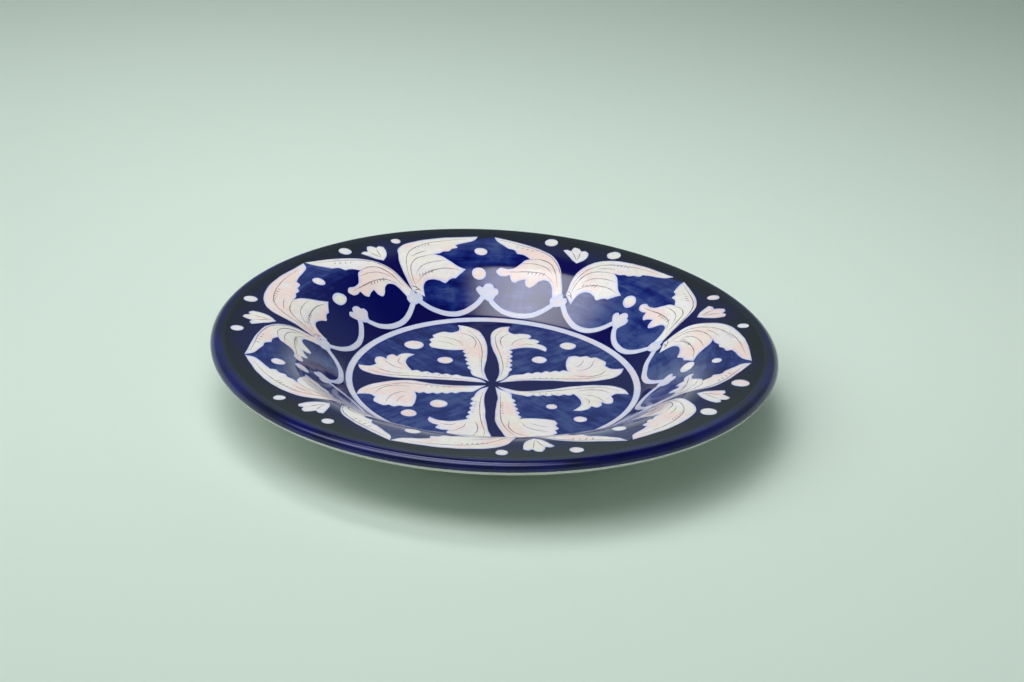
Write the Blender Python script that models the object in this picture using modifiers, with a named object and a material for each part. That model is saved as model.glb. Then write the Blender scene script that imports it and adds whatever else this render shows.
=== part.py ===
"""A thrown ceramic plate with a wide rim, a rolled lip and a turned foot.

The plate is one fired piece. Its sub-parts are the zones that the potter makes or glazes
separately: the clay body, the foot, and the glazes of the well, the line around the well,
the wall and rim, the lip, the back, and the recess inside the foot.

The frame: +Z is the plate's axis, pointing up out of the well, and z = 0 is the surface that
the foot stands on. Metres.

Every layer follows one closed outline of the half section, the skin. A layer's faces are
that outline set in by its depth under the skin.
"""

import math

import bmesh
import bpy

MM = 0.001

# Driving dimensions
PLATE_RADIUS = 125.0 * MM
WELL_HEIGHT = 12.0 * MM          # the well's edge above the table
WELL_DISH = 1.25 * MM            # how much lower the well's middle lies than its edge
DISH_BEND = 0.62                 # share of the well's radius, and of its dish, where the floor bends
WELL_CORNER_RADIUS = 65.1 * MM   # where the floor and the wall would meet without their fillet
WALL_SLOPE = 0.695               # rise over run of the wall's face
SHOULDER_RADIUS = 94.9 * MM      # where the wall and the rim would meet without their fillet
RIM_SLOPE = 0.08                 # rise over run of the rim's face
LIP_RADIUS = 3.05 * MM           # the rolled edge's half thickness

WELL_FILLET = 9.3 * MM
SHOULDER_FILLET = 21.0 * MM

FLOOR_THICKNESS = 7.0 * MM       # at the well's edge
WALL_THICKNESS = 5.5 * MM
RIM_THICKNESS = 4.8 * MM
LIP_ROLL_START = math.pi / 2 + math.atan(RIM_SLOPE)   # direction where the rim's face meets the roll
LIP_ROLL_END = math.radians(-125.0)
LIP_ROLL_BLEND = 4.0 * MM        # length of the slope from the rolled edge to the rim's back
BACK_FILLET = 9.0 * MM
BACK_SHOULDER_FILLET = 14.0 * MM

FOOT_OUTER_RADIUS = 58.0 * MM
FOOT_INNER_RADIUS = 50.0 * MM
FOOT_CHAMFER = 1.0 * MM

GLAZE = 0.7 * MM                 # thickness of a glaze
GAP = 0.3 * MM                   # clearance between two sub-parts that touch
CLAY_DEPTH = GLAZE + GAP         # depth of the clay under the skin

WELL_LINE_INNER = 63.0 * MM
WELL_LINE_OUTER = 65.9 * MM
LIP_GLAZE_START = 118.6 * MM     # radius on the face where the lip's colour begins
LIP_GLAZE_END = math.radians(-14.0)   # direction from the rolled edge's centre where it ends

STEPS = 60                       # facets around the axis
FILLET_STEPS = 4
BODY_LIP_STEPS = 9
LIP_STEPS = 6

# Colours: red, green, blue, with roughness
FIRED_CLAY = ((0.52, 0.33, 0.22), 0.85)
COBALT = ((0.035, 0.055, 0.26), 0.12)
NAVY = ((0.012, 0.016, 0.05), 0.12)
SLIP_WHITE = ((0.74, 0.71, 0.66), 0.15)
BACK_CREAM = ((0.62, 0.62, 0.57), 0.2)


def fillet(before, corner, after, radius, steps):
    """Return the points of an arc that rounds the corner between two straight runs."""
    in_x, in_z = corner[0] - before[0], corner[1] - before[1]
    out_x, out_z = after[0] - corner[0], after[1] - corner[1]
    in_angle = math.atan2(in_z, in_x)
    turn = math.atan2(out_z, out_x) - in_angle
    turn = (turn + math.pi) % (2 * math.pi) - math.pi
    reach = radius * math.tan(abs(turn) / 2)
    start = (corner[0] - reach * math.cos(in_angle), corner[1] - reach * math.sin(in_angle))
    side = math.copysign(1.0, turn)
    centre = (start[0] - side * radius * math.sin(in_angle),
              start[1] + side * radius * math.cos(in_angle))
    points = []
    for step in range(steps + 1):
        angle = in_angle + turn * step / steps
        points.append((centre[0] + side * radius * math.sin(angle),
                       centre[1] - side * radius * math.cos(angle)))
    return points


def crossing(point_a, slope_a, point_b, slope_b):
    """Return where two lines, each given by a point and a slope, cross."""
    x = (point_b[1] - point_a[1] + slope_a * point_a[0] - slope_b * point_b[0]) / (slope_a - slope_b)
    return x, point_a[1] + slope_a * (x - point_a[0])


def face_point_at(start, end, radius):
    """Return the point at the given radius on the straight run from start to end."""
    share = (radius - start[0]) / (end[0] - start[0])
    return radius, start[1] + share * (end[1] - start[1])


def face_outline():
    """Return the face from the axis out to where the lip's colour begins."""
    centre = (0.0, WELL_HEIGHT - WELL_DISH)
    dish = (DISH_BEND * WELL_CORNER_RADIUS, WELL_HEIGHT - DISH_BEND * WELL_DISH)
    corner = (WELL_CORNER_RADIUS, WELL_HEIGHT)
    shoulder = (SHOULDER_RADIUS, WELL_HEIGHT + WALL_SLOPE * (SHOULDER_RADIUS - WELL_CORNER_RADIUS))
    rim_end = lip_point(LIP_ROLL_START)
    points = [centre, dish]
    points += fillet(dish, corner, shoulder, WELL_FILLET, FILLET_STEPS)
    points += fillet(corner, shoulder, rim_end, SHOULDER_FILLET, FILLET_STEPS)
    points.append(face_point_at(points[-1], rim_end, LIP_GLAZE_START))
    return points


def lip_centre():
    """Return the centre of the rolled edge's section."""
    rise = WALL_SLOPE * (SHOULDER_RADIUS - WELL_CORNER_RADIUS)
    radius = PLATE_RADIUS - LIP_RADIUS
    rim_height = WELL_HEIGHT + rise + RIM_SLOPE * (radius - SHOULDER_RADIUS)
    return radius, rim_height - LIP_RADIUS


def lip_point(angle):
    """Return the skin's point on the rolled edge in the given direction from its centre."""
    radius, height = lip_centre()
    return radius + LIP_RADIUS * math.cos(angle), height + LIP_RADIUS * math.sin(angle)


def lip_arc(start, end, steps):
    """Return the rolled edge's points from one direction to another."""
    return [lip_point(start + (end - start) * step / steps) for step in range(steps + 1)]


def back_outline():
    """Return the back from the rolled edge's end in to the axis."""
    rim_top = lip_point(math.pi / 2)
    blend_radius = lip_point(LIP_ROLL_END)[0] - LIP_ROLL_BLEND
    blend = (blend_radius, rim_top[1] - RIM_THICKNESS - RIM_SLOPE * (rim_top[0] - blend_radius))
    wall_drop = WALL_THICKNESS * math.hypot(1.0, WALL_SLOPE)
    wall_back = (WELL_CORNER_RADIUS, WELL_HEIGHT - wall_drop)
    base = WELL_HEIGHT - FLOOR_THICKNESS
    shoulder = crossing(blend, RIM_SLOPE, wall_back, WALL_SLOPE)
    corner = (wall_back[0] + (base - wall_back[1]) / WALL_SLOPE, base)
    edge = (FOOT_OUTER_RADIUS, base)
    points = [blend]
    points += fillet(blend, shoulder, corner, BACK_SHOULDER_FILLET, FILLET_STEPS)
    points += fillet(shoulder, corner, edge, BACK_FILLET, FILLET_STEPS)
    points.append((0.0, base))
    return points


def set_in(points, depth):
    """Return an open outline moved by depth to its right-hand side, where the clay is.

    An end on the axis stays on the axis.
    """
    normals = []
    for start, end in zip(points, points[1:]):
        length = math.hypot(end[0] - start[0], end[1] - start[1])
        normals.append(((end[1] - start[1]) / length, (start[0] - end[0]) / length))
    moved = []
    for index, point in enumerate(points):
        first = normals[max(index - 1, 0)]
        second = normals[min(index, len(normals) - 1)]
        if point[0] == 0.0:
            moved.append((0.0, point[1] + depth / first[1]))
            continue
        share = 1.0 + first[0] * second[0] + first[1] * second[1]
        moved.append((point[0] + depth * (first[0] + second[0]) / share,
                      point[1] + depth * (first[1] + second[1]) / share))
    return moved


def layer(points):
    """Return the closed section of a glaze that lies under a stretch of the skin."""
    return points + list(reversed(set_in(points, GLAZE)))


def clip(points, low, high):
    """Return a face outline cut to the stretch between two radii."""
    cut = []
    for start, end in zip(points, points[1:]):
        if end[0] <= low or start[0] >= high:
            continue
        if start[0] < low:
            start = face_point_at(start, end, low)
        if end[0] > high:
            end = face_point_at(start, end, high)
        if not cut:
            cut.append(start)
        cut.append(end)
    return cut


def cut_back(points, low):
    """Return a back outline, which runs inwards, cut at an inner radius."""
    outwards = clip(list(reversed(points)), low, points[0][0])
    return list(reversed(outwards))


def material(name, colour, roughness):
    """Return a Principled material with one colour."""
    made = bpy.data.materials.new(name)
    made.use_nodes = True
    shader = made.node_tree.nodes["Principled BSDF"]
    shader.inputs["Base Color"].default_value = (*colour, 1.0)
    shader.inputs["Roughness"].default_value = roughness
    shader.inputs["Metallic"].default_value = 0.0
    return made


def turned(name, section, colour, collection, closed):
    """Make one turned sub-part from a section that runs down its outer side."""
    mesh = bpy.data.meshes.new(name)
    section_mesh = bmesh.new()
    vertices = [section_mesh.verts.new((radius, 0.0, height)) for radius, height in section]
    for first, second in zip(vertices, vertices[1:]):
        section_mesh.edges.new((first, second))
    if closed:
        section_mesh.edges.new((vertices[-1], vertices[0]))
    section_mesh.to_mesh(mesh)
    section_mesh.free()
    mesh.materials.append(material(name, *colour))
    made = bpy.data.objects.new(name, mesh)
    collection.objects.link(made)
    screw = made.modifiers.new("turn", "SCREW")
    screw.axis = "Z"
    screw.steps = STEPS
    screw.render_steps = STEPS
    screw.use_merge_vertices = True
    screw.merge_threshold = 0.00001
    screw.use_smooth_shade = True
    return made


def clay_body(collection):
    """Make the thrown clay: floor, wall, rim and the core of the rolled edge."""
    lip = lip_arc(LIP_ROLL_START, LIP_ROLL_END, BODY_LIP_STEPS)
    skin = face_outline() + lip + back_outline()
    return turned("clay_body", set_in(skin, CLAY_DEPTH), FIRED_CLAY, collection, closed=False)


def foot_ring(collection):
    """Make the turned foot, a ring that stands on a flat face."""
    top = WELL_HEIGHT - FLOOR_THICKNESS + CLAY_DEPTH - GAP
    section = [
        (FOOT_INNER_RADIUS, top),
        (FOOT_OUTER_RADIUS, top),
        (FOOT_OUTER_RADIUS, FOOT_CHAMFER),
        (FOOT_OUTER_RADIUS - FOOT_CHAMFER, 0.0),
        (FOOT_INNER_RADIUS + FOOT_CHAMFER, 0.0),
        (FOOT_INNER_RADIUS, FOOT_CHAMFER),
    ]
    return turned("foot_ring", section, FIRED_CLAY, collection, closed=True)


def well_glaze(collection):
    """Make the painted glaze on the well's floor."""
    stretch = clip(face_outline(), -1.0, WELL_LINE_INNER - GAP / 2)
    return turned("well_glaze", layer(stretch), COBALT, collection, closed=False)


def well_line(collection):
    """Make the white line around the well."""
    stretch = clip(face_outline(), WELL_LINE_INNER + GAP / 2, WELL_LINE_OUTER - GAP / 2)
    return turned("well_line", layer(stretch), SLIP_WHITE, collection, closed=True)


def rim_glaze(collection):
    """Make the painted glaze on the wall and the rim."""
    stretch = clip(face_outline(), WELL_LINE_OUTER + GAP / 2, LIP_GLAZE_START - GAP / 2)
    return turned("rim_glaze", layer(stretch), NAVY, collection, closed=True)


def lip_glaze(collection):
    """Make the cobalt glaze around the rolled edge."""
    lip = lip_arc(LIP_ROLL_START, LIP_GLAZE_END, LIP_STEPS)
    start = face_point_at(face_outline()[-1], lip[0], LIP_GLAZE_START + GAP / 2)
    return turned("lip_glaze", layer([start] + lip), COBALT, collection, closed=True)


def back_glaze(collection):
    """Make the pale glaze on the back, from the rolled edge to the foot."""
    gap_angle = GAP / (LIP_RADIUS - GLAZE)
    lip = lip_arc(LIP_GLAZE_END - gap_angle, LIP_ROLL_END, LIP_STEPS)
    stretch = lip + cut_back(back_outline(), FOOT_OUTER_RADIUS + GAP)
    return turned("back_glaze", layer(stretch), BACK_CREAM, collection, closed=True)


def recess_glaze(collection):
    """Make the pale glaze on the recess inside the foot."""
    base = WELL_HEIGHT - FLOOR_THICKNESS
    edge = FOOT_INNER_RADIUS - GAP
    section = [(0.0, base + GLAZE), (edge, base + GLAZE), (edge, base), (0.0, base)]
    return turned("recess_glaze", section, BACK_CREAM, collection, closed=False)


def main():
    for made in list(bpy.data.objects):
        bpy.data.objects.remove(made, do_unlink=True)
    plate = bpy.data.collections.new("hand_painted_plate")
    bpy.context.scene.collection.children.link(plate)
    clay_body(plate)
    foot_ring(plate)
    well_glaze(plate)
    well_line(plate)
    rim_glaze(plate)
    lip_glaze(plate)
    back_glaze(plate)
    recess_glaze(plate)


main()
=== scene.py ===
"""The looks of a hand painted ceramic plate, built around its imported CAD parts.

Each CAD node is replaced by a finer turned piece. The fired plate isn't quite round or flat,
so every point of the plate goes through fired(), which adds that slight warp. The painting is
made of thin solid pieces that lie on the face: cobalt washes, white slip shapes and fine veins.

Places around the wall and rim are (share of a palmette's pitch clockwise from its axis,
radius), and in the well they are (x, y) or (distance along an arm of the cross, distance from
its middle). Lengths take the plate's radius as 1, and the long lists are in thousandths.
"""

import math

import bpy
import numpy as np
from mathutils import Matrix, Vector, noise
from mathutils.geometry import delaunay_2d_cdt


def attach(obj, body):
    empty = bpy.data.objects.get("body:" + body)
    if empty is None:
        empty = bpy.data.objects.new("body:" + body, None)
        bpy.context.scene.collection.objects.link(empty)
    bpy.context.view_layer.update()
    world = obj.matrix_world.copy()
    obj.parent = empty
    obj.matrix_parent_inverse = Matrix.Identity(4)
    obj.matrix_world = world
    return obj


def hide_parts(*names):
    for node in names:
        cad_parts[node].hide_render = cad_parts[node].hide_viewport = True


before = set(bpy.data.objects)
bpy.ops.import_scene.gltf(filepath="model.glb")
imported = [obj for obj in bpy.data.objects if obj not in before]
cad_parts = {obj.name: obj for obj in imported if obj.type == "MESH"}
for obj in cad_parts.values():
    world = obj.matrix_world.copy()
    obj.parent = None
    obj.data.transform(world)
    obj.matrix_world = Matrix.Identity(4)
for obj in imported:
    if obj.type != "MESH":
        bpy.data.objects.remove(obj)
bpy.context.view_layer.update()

MM = 0.001

# The plate's section. It is the CAD's, but for a softer shoulder between wall and rim.
PLATE_RADIUS = 125.0 * MM
WELL_HEIGHT = 12.0 * MM
WELL_DISH = 1.25 * MM
DISH_END = 60.0 * MM             # radius where the dished floor runs into the well's corner
WELL_CORNER_RADIUS = 65.1 * MM
WALL_SLOPE = 0.695
SHOULDER_RADIUS = 94.9 * MM
RIM_SLOPE = 0.08
LIP_RADIUS = 3.05 * MM
WELL_FILLET = 9.3 * MM
SHOULDER_FILLET = 30.0 * MM
FLOOR_THICKNESS = 7.0 * MM
WALL_THICKNESS = 5.5 * MM
RIM_THICKNESS = 4.8 * MM
LIP_ROLL_START = math.pi / 2 + math.atan(RIM_SLOPE)
LIP_ROLL_END = math.radians(-125.0)
LIP_ROLL_BLEND = 4.0 * MM
BACK_FILLET = 9.0 * MM
BACK_SHOULDER_FILLET = 14.0 * MM
FOOT_OUTER_RADIUS = 58.0 * MM
FOOT_INNER_RADIUS = 50.0 * MM
FOOT_ROUNDING = 1.2 * MM
RECESS_OVERLAP = 1.0 * MM        # how far the recess's glaze runs on into the foot
GLAZE = 0.7 * MM
CLAY_DEPTH = 0.85 * MM
WELL_LINE_INNER = 63.0 * MM
WELL_LINE_OUTER = 65.9 * MM
LIP_GLAZE_START = 118.6 * MM
LIP_GLAZE_END = math.radians(-14.0)
LIP_COLOUR_START = 120.2 * MM    # radius where the lip's cobalt shows

# How the plate warped in the kiln: shares of the plate's radius at its edge, and the
# directions in which the edge is highest and widest
WARP_RISE = 0.0075
WARP_RISE_DIRECTION = math.radians(-64.0)
WARP_SPREAD = 0.0059
WARP_SPREAD_DIRECTION = math.radians(-12.0)

TURN_STEPS = 360
LIP_STEPS = 28
DISH_STEPS = 30
RUN_STEP = 1.0 * MM              # longest stretch between two points of a section
OUTLINE_STEP = 0.4 * MM
GRID_STEP = 1.3 * MM
GRID_ROW = GRID_STEP * 0.87
INSET = 0.35 * MM                # a second row of points this far inside an outline
EDGE_WIDTH = 1.1 * MM            # how far the paint's soft edge reaches
PAINT_DEPTH = 0.12 * MM          # how deep a painted piece sits in the glaze under it
WASH_LIFT = 0.03 * MM            # how high a wash, white slip, the scallops and a vein stand
SLIP_LIFT = 0.07 * MM
SCALLOP_LIFT = SLIP_LIFT + 0.03 * MM
VEIN_LIFT = 0.10 * MM
WOBBLE = 0.16 * MM               # how far a painted outline strays
WOBBLE_LENGTH = 4.5 * MM
WOBBLE_SEED = 5                  # without it noise_vector takes its offsets from the clock
STACK_STEP = 0.003 * MM          # how much higher a piece's next shape stands, STACK times over
STACK = 8
SEED_STEP = 7.3                  # how far apart two pieces' brush patterns start
SWELL = 0.3                      # share of a stroke over which it reaches its full width
DOT_POINTS = 28
THIN_LINE = 0.4 * MM
SHARP_ANGLE = math.radians(50.0)

PALMETTES = 7
PITCH = 2 * math.pi / PALMETTES
FIRST_AXIS = math.radians(95.6)


# ---------------------------------------------------------------- the plate's section


def fillet(before, corner, after, radius, steps=14):
    """Return the points of an arc that rounds the corner between two straight runs."""
    in_angle = math.atan2(corner[1] - before[1], corner[0] - before[0])
    turn = math.atan2(after[1] - corner[1], after[0] - corner[0]) - in_angle
    turn = (turn + math.pi) % (2 * math.pi) - math.pi
    reach = radius * math.tan(abs(turn) / 2)
    start = (corner[0] - reach * math.cos(in_angle), corner[1] - reach * math.sin(in_angle))
    side = math.copysign(1.0, turn)
    centre = (start[0] - side * radius * math.sin(in_angle),
              start[1] + side * radius * math.cos(in_angle))
    points = []
    for step in range(steps + 1):
        angle = in_angle + turn * step / steps
        points.append((centre[0] + side * radius * math.sin(angle),
                       centre[1] - side * radius * math.cos(angle)))
    return points


def part_way(start, end, share):
    """Return the point at a share of the way between two others."""
    return (start[0] + share * (end[0] - start[0]), start[1] + share * (end[1] - start[1]))


def lip_point(angle):
    """Return the skin's point on the rolled edge in the given direction from its centre."""
    radius = PLATE_RADIUS - LIP_RADIUS
    height = (WELL_HEIGHT + WALL_SLOPE * (SHOULDER_RADIUS - WELL_CORNER_RADIUS)
              + RIM_SLOPE * (radius - SHOULDER_RADIUS) - LIP_RADIUS)
    return radius + LIP_RADIUS * math.cos(angle), height + LIP_RADIUS * math.sin(angle)


def lip_arc(start, end):
    """Return the rolled edge's points from one direction to another."""
    return [lip_point(start + (end - start) * step / LIP_STEPS) for step in range(LIP_STEPS + 1)]


def face_outline():
    """Return the face from the axis out to where the rolled edge begins."""
    points = []
    for step in range(DISH_STEPS + 1):
        radius = DISH_END * step / DISH_STEPS
        points.append((radius, WELL_HEIGHT - WELL_DISH * (1 - (radius / WELL_CORNER_RADIUS) ** 2)))
    corner = (WELL_CORNER_RADIUS, WELL_HEIGHT)
    shoulder = (SHOULDER_RADIUS, WELL_HEIGHT + WALL_SLOPE * (SHOULDER_RADIUS - WELL_CORNER_RADIUS))
    rim_end = lip_point(LIP_ROLL_START)
    points += fillet(points[-1], corner, shoulder, WELL_FILLET)
    points += fillet(corner, shoulder, rim_end, SHOULDER_FILLET)
    points.append(rim_end)
    return points


def back_outline():
    """Return the back from the rolled edge's end in to the foot."""
    rim_top = lip_point(math.pi / 2)
    blend_radius = lip_point(LIP_ROLL_END)[0] - LIP_ROLL_BLEND
    blend = (blend_radius, rim_top[1] - RIM_THICKNESS - RIM_SLOPE * (rim_top[0] - blend_radius))
    drop = WALL_THICKNESS * math.hypot(1.0, WALL_SLOPE)
    base = WELL_HEIGHT - FLOOR_THICKNESS
    reach = (blend[1] - RIM_SLOPE * blend[0] - WELL_HEIGHT + drop
             + WALL_SLOPE * WELL_CORNER_RADIUS) / (WALL_SLOPE - RIM_SLOPE)
    shoulder = (reach, blend[1] + RIM_SLOPE * (reach - blend[0]))
    corner = (WELL_CORNER_RADIUS + (base - WELL_HEIGHT + drop) / WALL_SLOPE, base)
    edge = (FOOT_OUTER_RADIUS, base)
    points = [blend]
    points += fillet(blend, shoulder, corner, BACK_SHOULDER_FILLET)
    points += fillet(shoulder, corner, edge, BACK_FILLET)
    points.append(edge)
    return points


def filled(points):
    """Return an outline with extra points, so that no stretch is longer than RUN_STEP."""
    made = [points[0]]
    for start, end in zip(points, points[1:]):
        count = max(1, math.ceil(math.dist(start, end) / RUN_STEP))
        made += [part_way(start, end, step / count) for step in range(1, count + 1)]
    return made


def between(points, low, high):
    """Return the face outline cut to the stretch between two radii."""
    table = np.array(points)
    inside = [tuple(point) for point in points if low < point[0] < high]
    ends = [(radius, float(np.interp(radius, table[:, 0], table[:, 1]))) for radius in (low, high)]
    return [ends[0]] + inside + [ends[1]]


def set_in(points, depth):
    """Return an outline moved by depth to its right-hand side, where the clay is."""
    line = np.array(points)
    along = np.gradient(line, axis=0)
    along /= np.linalg.norm(along, axis=1)[:, None]
    moved = line + depth * np.stack([along[:, 1], -along[:, 0]], axis=1)
    moved[line[:, 0] == 0.0, 0] = 0.0
    return [tuple(point) for point in moved]


FACE = filled(face_outline())
FACE_TABLE = np.array(FACE)


# ---------------------------------------------------------------- points on the plate


def fired(points):
    """Return points of the round plate moved to where the kiln left them."""
    points = np.asarray(points, float)
    radius = np.hypot(points[:, 0], points[:, 1])
    angle = np.arctan2(points[:, 1], points[:, 0])
    reach = PLATE_RADIUS * np.minimum(radius / PLATE_RADIUS, 1.0) ** 2
    rise = WARP_RISE * reach * np.cos(2 * (angle - WARP_RISE_DIRECTION))
    spread = WARP_SPREAD * reach * np.cos(2 * (angle - WARP_SPREAD_DIRECTION))
    moved = points.copy()
    moved[:, 0] += spread * np.cos(angle)
    moved[:, 1] += spread * np.sin(angle)
    moved[:, 2] += rise
    return moved


def face_at(plan):
    """Return the fired face's points over plan points."""
    radius = np.hypot(plan[:, 0], plan[:, 1])
    height = np.interp(radius, FACE_TABLE[:, 0], FACE_TABLE[:, 1])
    return fired(np.column_stack([plan, height]))


def face_normals(plan):
    """Return the fired face's upward normals over plan points."""
    step = 0.3 * MM
    across = face_at(plan + (step, 0.0)) - face_at(plan - (step, 0.0))
    along = face_at(plan + (0.0, step)) - face_at(plan - (0.0, step))
    normals = np.cross(across, along)
    return normals / np.linalg.norm(normals, axis=1)[:, None]


def spline(points, spacing=OUTLINE_STEP, ring=False):
    """Return a smooth line through points, sampled about every spacing."""
    line = np.array(points, float)
    if ring:
        line = np.vstack([line[-1], line, line[0], line[1]])
    gaps = np.maximum(np.linalg.norm(np.diff(line, axis=0), axis=1), 1e-9)
    slopes = np.diff(line, axis=0) / gaps[:, None]
    tangents = np.vstack([slopes[0], np.zeros((len(line) - 2, 2)), slopes[-1]])
    weight = gaps[1:, None] / (gaps[1:, None] + gaps[:-1, None])
    tangents[1:-1] = slopes[:-1] * weight + slopes[1:] * (1 - weight)
    first, last = (1, len(line) - 2) if ring else (0, len(line) - 1)
    made = []
    for index in range(first, last):
        count = max(2, math.ceil(gaps[index] / spacing))
        share = np.arange(count)[:, None] / count
        square, cube = share ** 2, share ** 3
        made.append((2 * cube - 3 * square + 1) * line[index]
                    + (cube - 2 * square + share) * gaps[index] * tangents[index]
                    + (3 * square - 2 * cube) * line[index + 1]
                    + (cube - square) * gaps[index] * tangents[index + 1])
    if not ring:
        made.append(line[-1:])
    return np.vstack(made)


def wobbled(line, seed, amount=WOBBLE):
    """Return a line moved a little, as a brush strays."""
    moved = line.copy()
    for index, (x, y) in enumerate(line):
        shift = noise.noise_vector(Vector((x / WOBBLE_LENGTH, y / WOBBLE_LENGTH, seed)))
        moved[index, 0] += amount * shift.x
        moved[index, 1] += amount * shift.y
    return moved


def inside_of(outline, points):
    """Return which points lie inside a closed outline."""
    x, y = points[:, 0][:, None], points[:, 1][:, None]
    x1, y1 = outline[:, 0], outline[:, 1]
    x2, y2 = np.roll(x1, -1), np.roll(y1, -1)
    rise = np.where(y2 == y1, 1e-12, y2 - y1)
    crosses = ((y1 > y) != (y2 > y)) & (x < (x2 - x1) * (y - y1) / rise + x1)
    return crosses.sum(axis=1) % 2 == 1


def distance_to(outline, points):
    """Return each point's distance to a closed outline."""
    start, end = outline, np.roll(outline, -1, axis=0)
    run = end - start
    length = np.maximum((run ** 2).sum(axis=1), 1e-18)
    nearest = np.full(len(points), np.inf)
    for index in range(len(start)):
        offset = points - start[index]
        share = np.clip(offset @ run[index] / length[index], 0.0, 1.0)
        gap = np.linalg.norm(offset - share[:, None] * run[index], axis=1)
        nearest = np.minimum(nearest, gap)
    return nearest


# ---------------------------------------------------------------- pieces


def store(mesh, name, values, kind="FLOAT", field="value"):
    """Keep a value for each of the mesh's points."""
    mesh.attributes.new(name, kind, "POINT").data.foreach_set(field, values)


def linked(name, data):
    """Return a new object in the scene."""
    made = bpy.data.objects.new(name, data)
    bpy.context.scene.collection.objects.link(made)
    return made


def finish_piece(name, mesh, material, stands_for=()):
    """Link a mesh as a piece that rides on the plate."""
    mesh.materials.append(material)
    made = linked(name, mesh)
    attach(made, "root")
    if stands_for:
        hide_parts(*stands_for)


def turned(name, section, material, stands_for, closed=True, edges=None, warp=True):
    """Make a turned piece from a section that runs out along its face and back under it.

    edges gives each of the section's points its share of full colour.
    """
    angles = np.arange(TURN_STEPS) * 2 * math.pi / TURN_STEPS
    points = []
    rings = []
    shares = []
    for (radius, height), share in zip(section, edges or [1.0] * len(section)):
        count = 1 if radius < 1e-9 else TURN_STEPS
        rings.append(range(len(points), len(points) + count))
        points += [(radius * math.cos(angle), radius * math.sin(angle), height)
                   for angle in angles[:count]]
        shares += [share] * count
    faces = []
    for inner, outer in zip(rings, rings[1:] + rings[:1] if closed else rings[1:]):
        if len(inner) == 1 and len(outer) == 1:
            continue
        for step in range(TURN_STEPS):
            after = (step + 1) % TURN_STEPS
            face = (inner[step % len(inner)], outer[step % len(outer)],
                    outer[after % len(outer)], inner[after % len(inner)])
            # A ring on the axis is a single point, which makes this face a triangle
            faces.append(tuple(dict.fromkeys(face)))
    places = fired(points) if warp else np.array(points)
    mesh = bpy.data.meshes.new(name)
    mesh.from_pydata(places.tolist(), [], faces)
    store(mesh, "edge", shares)
    mesh.shade_smooth()
    mesh.set_sharp_from_angle(angle=SHARP_ANGLE)
    finish_piece(name, mesh, material, stands_for)


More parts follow.
